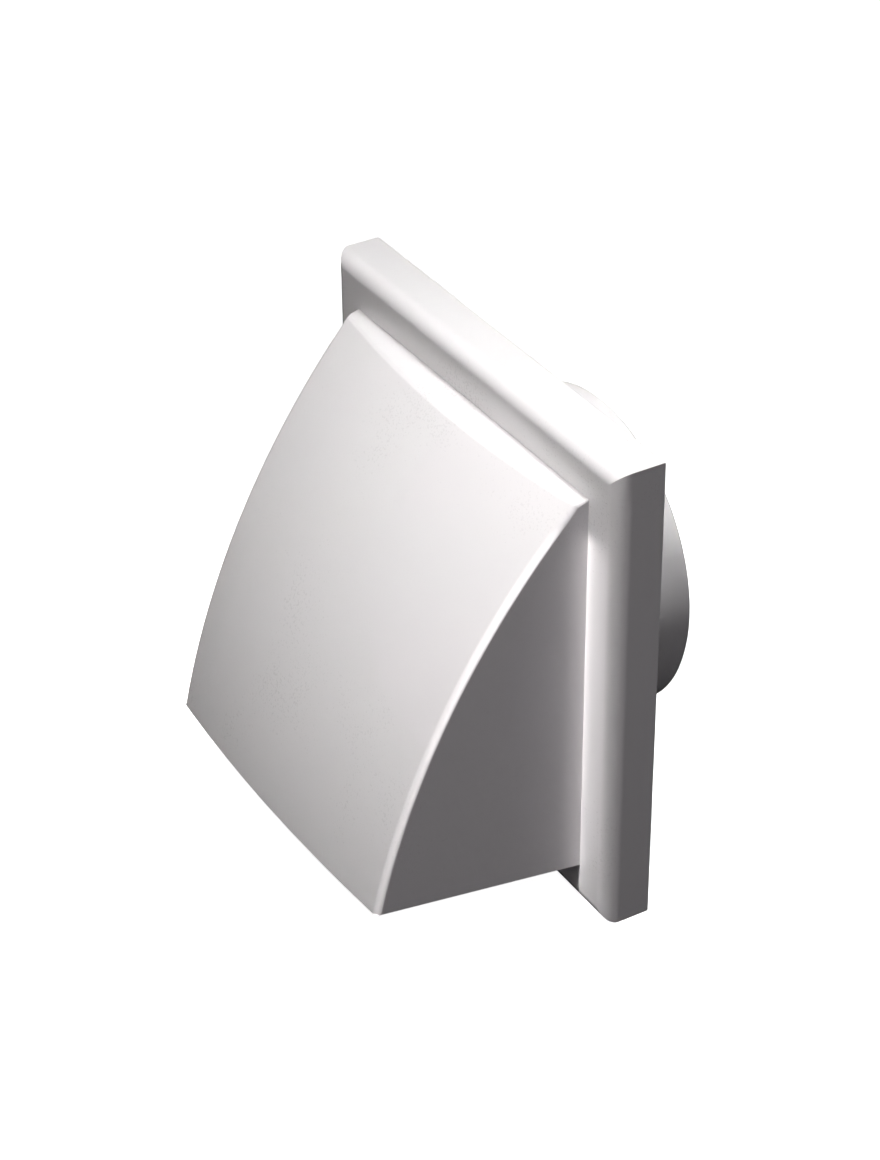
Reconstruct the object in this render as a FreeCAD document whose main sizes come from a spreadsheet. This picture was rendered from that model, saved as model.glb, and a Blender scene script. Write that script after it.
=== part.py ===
import FreeCAD, Part
import math
import os
import Sketcher

# Hooded ventilation grille for a 100 mm duct, in millimetres.
# The origin is on the spigot's axis in the wall plane. -Y is the front, +Y goes into the wall, +Z is up.
# The pieces are the cover (face plate and hood), the spigot base behind it and the hanging flap.

Vector = FreeCAD.Vector

# Lengths in mm and volumes in mm3 that differ by less than this count as equal
CLOSE = 0.001

# Driving dimensions: name, value, what it is
DIMENSIONS = [
    ("face_width", 154.0, "width and height of the square face plate"),
    ("rim_depth", 15.3, "depth of the rim, wall plane to front face"),
    ("rim_wall", 2.0, "thickness of the rim and of the face plate"),
    ("edge_round", 4.9, "outer rounding of the face plate's front edges"),
    ("inner_round", 2.9, "inner rounding behind those edges"),
    ("side_margin", 13.8, "width of the plate left on each side of the hood"),
    ("top_margin", 14.0, "height of the plate left above the hood"),
    ("foot_margin", 14.0, "height of the plate left below the hood's foot"),
    ("lip_taper", 3.2, "how far each side of the hood leans in from the plate to the lip"),
    ("hood_reach", 69.5, "how far the lip stands in front of the plate"),
    ("lip_rise", 7.3, "how far the lip is above the hood's foot"),
    ("crease_reach", 8.4, "how far the top crease stands in front of the plate"),
    ("crease_fall", 1.1, "how far the top crease is below the hood's top"),
    ("hood_radius", 258.9, "radius of the hood's front in side view"),
    ("crown_radius", 706.0, "radius of the hood's front in plan"),
    ("hood_wall", 2.2, "wall thickness of the hood"),
    ("hood_edge", 2.4, "rounding of the hood's side edges"),
    ("block_spare", 6.0, "how far the hood's blank runs past the lip before it is rounded off"),
    ("sill", 3.0, "height of the plate's edge left standing above the hood's foot"),
    ("post_inset", 5.0, "distance from the rim's inside to a stand-off post's centre"),
    ("post_diameter", 6.0, "diameter of a stand-off post"),
    ("catch_spacing", 84.0, "distance between two catches on one edge"),
    ("catch_width", 16.0, "length of a catch ridge along the rim"),
    ("catch_depth", 1.4, "depth of a catch ridge, front to back"),
    ("catch_height", 1.0, "how far a catch ridge stands in from the rim"),
    ("catch_setback", 4.4, "wall plane to the back of a catch ridge"),
    ("base_wall", 2.0, "thickness of the base plate"),
    ("base_clearance", 0.2, "gap between the base plate and the rim"),
    ("spigot_diameter", 100.0, "outer diameter of the spigot"),
    ("spigot_length", 30.4, "length of the spigot behind the wall plane"),
    ("spigot_wall", 2.0, "wall thickness of the spigot"),
    ("spigot_lead", 0.8, "chamfer on the spigot's free end"),
    ("seat_height", 5.0, "how far the flap's seat stands in front of the base plate"),
    ("screw_inset", 13.0, "distance from the rim's inside to a wall screw's centre"),
    ("screw_hole", 4.5, "diameter of a wall screw hole"),
    ("screw_head", 8.4, "diameter of a hole's countersink"),
    ("screw_angle", 90.0, "full angle of a hole's countersink, in degrees"),
    ("pad_diameter", 12.0, "diameter of the pad round a screw hole"),
    ("pad_height", 2.5, "height of the pad round a screw hole"),
    ("hook_width", 10.0, "width of a snap hook"),
    ("hook_wall", 1.5, "thickness of a snap hook's arm"),
    ("hook_barb", 1.2, "how far a snap hook's barb stands out"),
    ("hook_nose", 3.2, "length of a snap hook's barb, front to back"),
    ("hook_clearance", 0.3, "gap between a snap hook and its catch"),
    ("hinge_rise", 3.4, "how far the flap's hinge axis is above the spigot's outside"),
    ("hinge_setback", 6.0, "wall plane to the flap's hinge axis"),
    ("pin_diameter", 2.4, "diameter of a hinge pin"),
    ("pin_clearance", 0.05, "radial gap round a hinge pin"),
    ("ear_spacing", 67.6, "distance between the inner faces of the hinge ears"),
    ("ear_wall", 2.4, "thickness of a hinge ear"),
    ("ear_edge", 2.4, "material round a hinge pin's hole"),
    ("flap_thickness", 1.2, "thickness of the flap"),
    ("flap_overlap", 1.9, "how far the flap covers its seat, past the bore"),
    ("flap_gap", 0.3, "gap between the flap and its seat, and beside its lugs"),
    ("flap_brow", 1.6, "how far the flap's top edge is above the hinge axis"),
    ("bead_width", 1.6, "width of the stiffening bead round the flap"),
    ("bead_height", 0.9, "height of the stiffening bead round the flap"),
    ("bead_inset", 2.4, "distance from the flap's edge to its bead"),
    ("lug_width", 3.0, "width of a flap lug along the hinge axis"),
    ("lug_edge", 0.7, "material of a flap lug round its pin"),
]

doc = FreeCAD.newDocument("hooded_grille")
sheet = doc.addObject("Spreadsheet::Sheet", "sizes")
for row, (alias, value, note) in enumerate(DIMENSIONS, 1):
    sheet.set(f"A{row}", alias)
    sheet.set(f"B{row}", str(value))
    sheet.set(f"C{row}", note)
    sheet.setAlias(f"B{row}", alias)
doc.recompute()


class Size:
    """A length as a spreadsheet expression, with its present value."""

    def __init__(self, text, value):
        self.text = text
        self.value = value

    def joined(self, sign, other, value):
        right = other.text if isinstance(other, Size) else repr(other)
        return Size(f"({self.text} {sign} {right})", value)

    def __add__(self, other):
        return self.joined("+", other, self.value + number(other))

    def __sub__(self, other):
        return self.joined("-", other, self.value - number(other))

    def __mul__(self, other):
        return self.joined("*", other, self.value * number(other))

    def __truediv__(self, other):
        return self.joined("/", other, self.value / number(other))

    def __neg__(self):
        return Size(f"(-1 * {self.text})", -self.value)


def number(size):
    """The plain value of a Size or of a number."""
    return size.value if isinstance(size, Size) else size


def root(size):
    """The square root of a Size."""
    return Size(f"sqrt({size.text})", math.sqrt(size.value))


def cell(alias):
    """The Size of one spreadsheet cell."""
    return Size(f"sizes.{alias}", float(sheet.get(alias)))


# Construction helpers

def bind(item, prop, size):
    """Ties a property to the spreadsheet."""
    item.setExpression(prop, size.text)


def new_body(label):
    body = doc.addObject("PartDesign::Body", label)
    body.Label = label
    return body


def new_sketch(body, name, role, offset=(0, 0, 0)):
    """A sketch on one of the body's own origin planes, moved by offset in the plane's own directions."""
    sketch = body.newObject("Sketcher::SketchObject", name)
    plane = next(item for item in body.Origin.OriginFeatures if item.Role == role)
    sketch.AttachmentSupport = [(plane, "")]
    sketch.MapMode = "FlatFace"
    base = Vector(*[number(step) for step in offset])
    sketch.AttachmentOffset = FreeCAD.Placement(base, FreeCAD.Rotation())
    for letter, step in zip("xyz", offset):
        if isinstance(step, Size):
            bind(sketch, f"AttachmentOffset.Base.{letter}", step)
    return sketch


def front_sketch(body, name, setback, up=0):
    """A sketch seen from the front, at a distance in front of the wall plane."""
    return new_sketch(body, name, "XZ_Plane", (0, up, setback))


def hold(sketch, kind, *parts):
    """Adds a constraint whose last part is a Size, and ties it to the spreadsheet."""
    size = parts[-1]
    index = sketch.addConstraint(Sketcher.Constraint(kind, *parts[:-1], size.value))
    sketch.setExpression(f"Constraints[{index}]", size.text)


def place_point(sketch, geometry, end, x, y):
    """Fixes a sketch point at x, y from the sketch's origin."""
    for kind, size, axis in (("DistanceX", x, -2), ("DistanceY", y, -1)):
        if abs(number(size)) < CLOSE:
            sketch.addConstraint(Sketcher.Constraint("PointOnObject", geometry, end, axis))
        else:
            hold(sketch, kind, -1, 1, geometry, end, size)


def polygon(sketch, corners):
    """A closed outline of straight edges through the corners."""
    points = [Vector(number(x), number(y), 0) for x, y in corners]
    ends = points[1:] + points[:1]
    first = sketch.GeometryCount
    for start, end in zip(points, ends):
        sketch.addGeometry(Part.LineSegment(start, end), False)
    for index, (x, y) in enumerate(corners):
        before = first + (index - 1) % len(corners)
        sketch.addConstraint(Sketcher.Constraint("Coincident", before, 2, first + index, 1))
        place_point(sketch, first + index, 1, x, y)


def box(sketch, left, right, low, high):
    polygon(sketch, [(left, low), (right, low), (right, high), (left, high)])


def circle(sketch, x, y, diameter):
    centre = Vector(number(x), number(y), 0)
    index = sketch.addGeometry(Part.Circle(centre, Vector(0, 0, 1), diameter.value / 2), False)
    place_point(sketch, index, 3, x, y)
    hold(sketch, "Diameter", index, diameter)


def pad(body, sketch, length, name, backwards=False):
    """Pads a front sketch towards the front, or backwards towards the wall."""
    feature = body.newObject("PartDesign::Pad", name)
    feature.Profile = sketch
    bind(feature, "Length", length)
    feature.Reversed = backwards
    doc.recompute()
    return feature


def pocket(body, sketch, length, name, forwards=False):
    """Cuts a front sketch into the body, back towards the wall or forwards to the face."""
    before = body.Shape.Volume
    feature = body.newObject("PartDesign::Pocket", name)
    feature.Profile = sketch
    bind(feature, "Length", length)
    feature.Reversed = forwards
    doc.recompute()
    if not body.Shape.Volume < before - CLOSE:
        raise RuntimeError(f"{name} cuts nothing")
    return feature


def combine(body, kind, tool, name):
    """Fuses, cuts or intersects a body with another one."""
    feature = body.newObject("PartDesign::Boolean", name)
    feature.Type = kind
    feature.Group = [tool]
    doc.recompute()
    return feature


def dress_edges(body, kind, edges, prop, size, name):
    """Rounds or chamfers edges of the body's present shape."""
    base = body.Tip
    feature = body.newObject(kind, name)
    feature.Base = (base, [f"Edge{index}" for index in edges])
    bind(feature, prop, size)
    doc.recompute()


def round_edges(body, edges, radius, name):
    dress_edges(body, "PartDesign::Fillet", edges, "Radius", radius, name)


def edges_where(body, test):
    """Numbers of the body's edges whose centre of mass and bounding box pass a test."""
    edges = body.Shape.Edges
    return [index for index, edge in enumerate(edges, 1) if test(edge.CenterOfMass, edge.BoundBox)]


def near(first, second):
    return abs(first - second) < CLOSE


# Sizes that several pieces share
half_face = cell("face_width") / 2
rim_depth = cell("rim_depth")
inner_half = half_face - cell("rim_wall")
plate_back = rim_depth - cell("rim_wall")
bore_diameter = cell("spigot_diameter") - cell("spigot_wall") * 2
seat_front = cell("base_wall") + cell("seat_height")
half_hood = half_face - cell("side_margin")
hood_top = half_face - cell("top_margin")
hood_foot = half_face - cell("foot_margin")
half_post = inner_half - cell("post_inset")
half_catch = cell("catch_spacing") / 2
half_screw = inner_half - cell("screw_inset")
hinge_height = cell("spigot_diameter") / 2 + cell("hinge_rise")
signs = (-1, 1)
nothing = cell("hood_wall") * 0

# Axis of the hood's front, from its crease, its lip and its radius in side view
crease_y = cell("crease_reach")
crease_z = hood_top - cell("crease_fall")
lip_y = cell("hood_reach")
lip_z = cell("lip_rise") - hood_foot
chord = root((lip_y - crease_y) * (lip_y - crease_y) + (crease_z - lip_z) * (crease_z - lip_z))
arc_depth = root(cell("hood_radius") * cell("hood_radius") - chord * chord / 4)
axis_back = arc_depth * (crease_z - lip_z) / chord - (crease_y + lip_y) / 2 - rim_depth
axis_height = (crease_z + lip_z) / 2 - arc_depth * (lip_y - crease_y) / chord


# Hood

def hood_blank(label, wall, open_foot):
    """The hood before its front is rounded off, inset by a wall. An open foot runs out below."""
    body = new_body(label)
    blank_reach = lip_y + cell("block_spare")
    share = blank_reach / lip_y
    narrowing = cell("lip_taper") * share
    top_fall = cell("crease_fall") * blank_reach / crease_y
    foot_rise = cell("lip_rise") * share
    top = hood_top - wall
    foot = -half_face if open_foot else -hood_foot
    sections = []
    for name, setback, inset, fall, rise in (
        ("root", rim_depth, wall, nothing, nothing),
        ("tip", rim_depth + blank_reach, wall + narrowing, top_fall, foot_rise),
    ):
        sketch = front_sketch(body, f"{label}_{name}", setback)
        side = half_hood - inset
        box(sketch, -side, side, foot if open_foot else foot + rise, top - fall)
        sections.append(sketch)
    loft = body.newObject("PartDesign::AdditiveLoft", f"{label}_loft")
    loft.Profile = sections[0]
    loft.Sections = sections[1:]
    loft.Ruled = True
    doc.recompute()
    return body


def hood_barrel(label, wall):
    """The doubly curved front as a barrel about a crosswise axis behind the wall and below the hood."""
    body = new_body(label)
    sketch = new_sketch(body, f"{label}_section", "XY_Plane", (0, axis_back, axis_height))
    centre_radius = cell("hood_radius") - wall
    crown = cell("crown_radius") - wall
    crown_centre = crown - centre_radius
    half = half_face.value
    end = crown_centre.value - math.sqrt(crown.value**2 - half**2)
    corners = [Vector(-half, 0, 0), Vector(half, 0, 0), Vector(half, end, 0), Vector(-half, end, 0)]
    base = sketch.addGeometry(Part.LineSegment(corners[0], corners[1]), False)
    right = sketch.addGeometry(Part.LineSegment(corners[1], corners[2]), False)
    front = Vector(0, -centre_radius.value, 0)
    arc = sketch.addGeometry(Part.Arc(corners[2], front, corners[3]), False)
    left = sketch.addGeometry(Part.LineSegment(corners[3], corners[0]), False)
    for before, after in ((base, right), (left, base)):
        sketch.addConstraint(Sketcher.Constraint("Coincident", before, 2, after, 1))
    sketch.addConstraint(Sketcher.Constraint("Coincident", right, 2, arc, 2))
    sketch.addConstraint(Sketcher.Constraint("Coincident", left, 1, arc, 1))
    place_point(sketch, base, 1, -half_face, 0)
    place_point(sketch, base, 2, half_face, 0)
    sketch.addConstraint(Sketcher.Constraint("Vertical", right))
    sketch.addConstraint(Sketcher.Constraint("Vertical", left))
    place_point(sketch, arc, 3, 0, crown_centre)
    hold(sketch, "Radius", arc, crown)
    turn = body.newObject("PartDesign::Revolution", f"{label}_turn")
    turn.Profile = sketch
    turn.ReferenceAxis = (sketch, ["H_Axis"])
    turn.Angle = 360
    doc.recompute()
    return body


def make_hood():
    """The hood as a shell, open towards the plate and at its foot."""
    hood = hood_blank("hood", nothing, False)
    combine(hood, "Common", hood_barrel("hood_front", nothing), "hood_rounded")
    side_limit = half_hood.value - cell("lip_taper").value - cell("hood_edge").value
    plate_front = -rim_depth.value
    foot_limit = lip_z.value

    def side_edge(centre, bounds):
        leaves_plate = bounds.YMin < plate_front - 1 and bounds.XLength < side_limit
        return leaves_plate and abs(centre.x) > side_limit and centre.z > foot_limit + 1

    round_edges(hood, edges_where(hood, side_edge), cell("hood_edge"), "hood_edges")
    core = hood_blank("hood_core", cell("hood_wall"), True)
    combine(core, "Common", hood_barrel("core_front", cell("hood_wall")), "core_rounded")
    combine(hood, "Cut", core, "hood_hollow")
    return hood


# Cover: face plate, rim and hood in one moulding

def make_cover():
    cover = new_body("cover")
    face = front_sketch(cover, "face", 0)
    box(face, -half_face, half_face, -half_face, half_face)
    pad(cover, face, rim_depth, "plate")
    front = -rim_depth.value
    edges = edges_where(cover, lambda centre, bounds: near(bounds.YMin, front) and near(bounds.YMax, front))
    round_edges(cover, edges, cell("edge_round"), "plate_edges")

    # The hollow behind the plate, rounded in step with the outside
    hollow = new_body("rim_hollow")
    inside = front_sketch(hollow, "inside", 0)
    box(inside, -inner_half, inner_half, -inner_half, inner_half)
    pad(hollow, inside, plate_back, "hollow_block")
    deep = -plate_back.value
    edges = edges_where(hollow, lambda centre, bounds: near(bounds.YMin, deep) and near(bounds.YMax, deep))
    round_edges(hollow, edges, cell("inner_round"), "hollow_edges")
    combine(cover, "Cut", hollow, "rim")

    combine(cover, "Fuse", make_hood(), "plate_and_hood")
    opening = front_sketch(cover, "throat_outline", rim_depth)
    side = half_hood - cell("hood_wall")
    low = cell("sill") - hood_foot
    box(opening, -side, side, low, hood_top - cell("hood_wall"))
    pocket(cover, opening, cell("rim_wall"), "throat")

    posts = front_sketch(cover, "post_outlines", cell("base_wall"))
    for across in signs:
        for up in signs:
            circle(posts, half_post * across, half_post * up, cell("post_diameter"))
    pad(cover, posts, plate_back - cell("base_wall"), "posts")

    catches = front_sketch(cover, "catch_outlines", cell("catch_setback"))
    half_ridge = cell("catch_width") / 2
    for across in signs:
        left = half_catch * across - half_ridge
        right = half_catch * across + half_ridge
        inner = inner_half - cell("catch_height")
        box(catches, left, right, inner, inner_half + cell("rim_wall") / 2)
        box(catches, left, right, -(inner_half + cell("rim_wall") / 2), -inner)
    pad(cover, catches, cell("catch_depth"), "catches")
    return cover


# Spigot base: plate, spigot, flap seat, screw pads, hinge ears and snap hooks in one moulding

def make_base():
    base = new_body("spigot_base")
    half_base = inner_half - cell("base_clearance")
    plate = front_sketch(base, "base_outline", 0)
    box(plate, -half_base, half_base, -half_base, half_base)
    pad(base, plate, cell("base_wall"), "base_plate")

    seat = front_sketch(base, "seat_outline", 0)
    circle(seat, 0, 0, cell("spigot_diameter"))
    pad(base, seat, seat_front, "seat")
    spigot = front_sketch(base, "spigot_outline", 0)
    circle(spigot, 0, 0, cell("spigot_diameter"))
    pad(base, spigot, cell("spigot_length"), "spigot", backwards=True)
    end = cell("spigot_length").value
    rims = edges_where(base, lambda centre, bounds: near(centre.y, end))
    dress_edges(base, "PartDesign::Chamfer", rims, "Size", cell("spigot_lead"), "spigot_lead_in")

    pads = front_sketch(base, "pad_outlines", cell("base_wall"))
    holes = front_sketch(base, "hole_centres", cell("base_wall") + cell("pad_height"))
    for across in signs:
        for up in signs:
            circle(pads, half_screw * across, half_screw * up, cell("pad_diameter"))
            circle(holes, half_screw * across, half_screw * up, cell("screw_hole"))
    pad(base, pads, cell("pad_height"), "screw_pads")
    add_ears(base)
    add_hooks(base, half_base)

    before = base.Shape.Volume
    drill = base.newObject("PartDesign::Hole", "screw_holes")
    drill.Profile = holes
    doc.recompute()
    drill.DepthType = "ThroughAll"
    bind(drill, "Diameter", cell("screw_hole"))
    drill.HoleCutType = "Countersink"
    drill.HoleCutCustomValues = True
    bind(drill, "HoleCutCountersinkAngle", cell("screw_angle"))
    bind(drill, "HoleCutDiameter", cell("screw_head"))
    doc.recompute()
    if not base.Shape.Volume < before:
        raise RuntimeError("the screw holes cut nothing")

    bore = front_sketch(base, "bore_outline", seat_front)
    circle(bore, 0, 0, bore_diameter)
    pocket(base, bore, seat_front + cell("spigot_length"), "bore")
    return base


hinge_radius = cell("pin_diameter") / 2 + cell("pin_clearance")
ear_half_height = hinge_radius + cell("ear_edge")


def add_ears(base):
    """Two ears that stand in front of the base plate and hold the flap's pins."""
    ears = front_sketch(base, "ear_outlines", cell("base_wall"))
    inner = cell("ear_spacing") / 2
    outer = inner + cell("ear_wall")
    low = hinge_height - ear_half_height
    high = hinge_height + ear_half_height
    box(ears, inner, outer, low, high)
    box(ears, -outer, -inner, low, high)
    pad(base, ears, cell("hinge_setback") + ear_half_height - cell("base_wall"), "hinge_ears")

    before = base.Shape.Volume
    hole = new_sketch(base, "pin_hole_outline", "YZ_Plane", (0, 0, 0))
    circle(hole, -cell("hinge_setback"), hinge_height, hinge_radius * 2)
    drill = base.newObject("PartDesign::Pocket", "pin_holes")
    drill.Profile = hole
    drill.Midplane = True
    bind(drill, "Length", outer * 2 + cell("ear_wall"))
    doc.recompute()
    if not base.Shape.Volume < before:
        raise RuntimeError("the pin holes cut nothing")


def add_hooks(base, half_base):
    """Four snap hooks that stand in front of the base plate and hold the cover by its catches."""
    catch_front = cell("catch_setback") + cell("catch_depth")
    barb_back = catch_front + cell("hook_clearance")
    arm_outer = inner_half - cell("catch_height") - cell("hook_clearance")
    arm_inner = arm_outer - cell("hook_wall")
    for index, across in enumerate(signs):
        for side, up in (("foot", -1), ("top", 1)):
            offset = half_catch * across
            profile = new_sketch(base, f"hook_{side}_{index}", "YZ_Plane", (0, 0, offset))
            outline = [
                (-cell("base_wall") / 2, arm_inner),
                (-(barb_back + cell("hook_nose")), arm_inner),
                (-(barb_back + cell("hook_nose")), arm_inner + cell("hook_wall") / 2),
                (-(barb_back + cell("hook_clearance")), arm_outer + cell("hook_barb")),
                (-barb_back, arm_outer + cell("hook_barb")),
                (-barb_back, arm_outer),
                (-cell("base_wall") / 2, arm_outer),
            ]
            polygon(profile, [(y, z * up) for y, z in outline])
            hook = base.newObject("PartDesign::Pad", f"hook_{side}_{index}_pad")
            hook.Profile = profile
            hook.Midplane = True
            bind(hook, "Length", cell("hook_width"))
            doc.recompute()


# Backdraft flap: a thin disc with a straight brow, a stiffening bead, two lugs and two pins

def make_flap():
    flap = new_body("backdraft_flap")
    back = seat_front + cell("flap_gap")
    front = back + cell("flap_thickness")
    flap_diameter = bore_diameter + cell("flap_overlap") * 2
    disc = front_sketch(flap, "disc_outline", back)
    circle(disc, 0, 0, flap_diameter)
    pad(flap, disc, cell("flap_thickness"), "disc")

    brow = front_sketch(flap, "brow_outline", back)
    half_brow = cell("ear_spacing") / 2 - cell("flap_gap")
    box(brow, -half_brow, half_brow, 0, hinge_height + cell("flap_brow"))
    pad(flap, brow, cell("flap_thickness"), "brow")

    bead = front_sketch(flap, "bead_outline", front)
    bead_diameter = flap_diameter - cell("bead_inset") * 2
    circle(bead, 0, 0, bead_diameter)
    circle(bead, 0, 0, bead_diameter - cell("bead_width") * 2)
    pad(flap, bead, cell("bead_height"), "bead")

    lug_radius = cell("pin_diameter") / 2 + cell("lug_edge")
    lug_high = hinge_height + lug_radius
    lug_low = hinge_height - lug_radius
    lugs = front_sketch(flap, "lug_outlines", cell("hinge_setback"))
    lug_inner = half_brow - cell("lug_width")
    box(lugs, lug_inner, half_brow, lug_low, lug_high)
    box(lugs, -half_brow, -lug_inner, lug_low, lug_high)
    pad(flap, lugs, front - cell("hinge_setback"), "lugs")
    for side, inner, outer in (
        ("right", lug_inner, half_brow),
        ("left", -half_brow, -lug_inner),
    ):
        knuckle = new_sketch(flap, f"knuckle_{side}_outline", "YZ_Plane", (0, 0, inner))
        circle(knuckle, -cell("hinge_setback"), hinge_height, lug_radius * 2)
        round_lug = flap.newObject("PartDesign::Pad", f"knuckle_{side}")
        round_lug.Profile = knuckle
        bind(round_lug, "Length", outer - inner)
        doc.recompute()

    reach = cell("ear_spacing") / 2 + cell("ear_wall")
    for side, start in (("right", lug_inner), ("left", -reach)):
        section = new_sketch(flap, f"pin_{side}_outline", "YZ_Plane", (0, 0, start))
        circle(section, -cell("hinge_setback"), hinge_height, cell("pin_diameter"))
        pin = flap.newObject("PartDesign::Pad", f"pin_{side}")
        pin.Profile = section
        bind(pin, "Length", reach - lug_inner)
        doc.recompute()
    return flap


pieces = [make_cover(), make_base(), make_flap()]
doc.recompute()

for item in doc.Objects:
    if "Invalid" in item.State or "Error" in item.State:
        raise RuntimeError(f"{item.Name} failed: {item.State}")
for piece in pieces:
    if piece.Shape.isNull() or not piece.Shape.isValid() or len(piece.Shape.Solids) != 1:
        raise RuntimeError(f"{piece.Label} isn't one valid solid")

os.makedirs("parts", exist_ok=True)
for piece in pieces:
    piece.Shape.exportStep(f"parts/{piece.Label}.step")
    size = piece.Shape.BoundBox
    print(piece.Label, f"{piece.Shape.Volume:.0f} mm3", f"{size.XLength:.2f} x {size.YLength:.2f} x {size.ZLength:.2f}")
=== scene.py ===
"""Looks of a hooded ventilation grille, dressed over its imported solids.

The meshes are modelled in millimetres and scaled to metres when they are done. The origin is on the
spigot's axis in the wall plane, -Y is the front, +Y goes into the wall and +Z is up.
"""

import logging
import math
from collections.abc import Callable, Sequence
from dataclasses import dataclass
from enum import Enum
from typing import ClassVar

import bmesh
import bpy
from mathutils import Matrix, Vector


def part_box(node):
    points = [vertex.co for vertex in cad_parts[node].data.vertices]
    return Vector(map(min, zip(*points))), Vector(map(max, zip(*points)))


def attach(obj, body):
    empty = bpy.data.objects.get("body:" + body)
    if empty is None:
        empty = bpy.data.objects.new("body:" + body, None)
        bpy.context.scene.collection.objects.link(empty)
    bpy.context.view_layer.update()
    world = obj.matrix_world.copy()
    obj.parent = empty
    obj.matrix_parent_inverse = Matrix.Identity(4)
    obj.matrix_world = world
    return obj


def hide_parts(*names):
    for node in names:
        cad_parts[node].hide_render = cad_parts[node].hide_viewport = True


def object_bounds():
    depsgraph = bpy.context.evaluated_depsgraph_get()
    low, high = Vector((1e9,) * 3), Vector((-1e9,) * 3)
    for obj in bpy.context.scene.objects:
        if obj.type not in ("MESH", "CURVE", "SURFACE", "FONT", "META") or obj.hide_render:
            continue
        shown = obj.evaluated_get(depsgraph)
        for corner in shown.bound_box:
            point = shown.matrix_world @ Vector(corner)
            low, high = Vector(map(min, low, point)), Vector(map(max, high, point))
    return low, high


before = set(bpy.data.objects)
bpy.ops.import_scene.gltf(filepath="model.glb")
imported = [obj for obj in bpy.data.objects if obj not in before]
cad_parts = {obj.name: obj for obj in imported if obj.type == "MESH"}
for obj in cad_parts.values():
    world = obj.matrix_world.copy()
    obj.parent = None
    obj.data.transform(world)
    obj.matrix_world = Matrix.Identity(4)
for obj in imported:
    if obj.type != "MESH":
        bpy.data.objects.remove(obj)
CAD_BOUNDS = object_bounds()

METRES = 0.001
# Places in millimetres that differ by less than this count as the same
NEAR = 0.01
LOG = logging.getLogger("hooded_grille")

Point = tuple[float, float, float]
Colour = tuple[float, float, float]
Element = bmesh.types.BMVert | bmesh.types.BMEdge | bmesh.types.BMFace


class Kind(Enum):
    """What is selected in edit mode."""

    VERTS = "VERT"
    EDGES = "EDGE"
    FACES = "FACE"


class Joining(Enum):
    """How one closed mesh is worked into another."""

    UNITE = "UNION"
    CUT = "DIFFERENCE"


class Side(Enum):
    """The two sides of the grille, as seen from the front."""

    LEFT = -1
    RIGHT = 1


def middle(element: Element) -> Vector:
    """The middle of a vertex, an edge or a face.

    Args:
        element: Any of them.

    Returns:
        Its middle, as a point of its own.
    """
    if isinstance(element, bmesh.types.BMVert):
        return element.co.copy()
    total = sum((vert.co for vert in element.verts), Vector())
    return total / len(element.verts)


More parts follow.
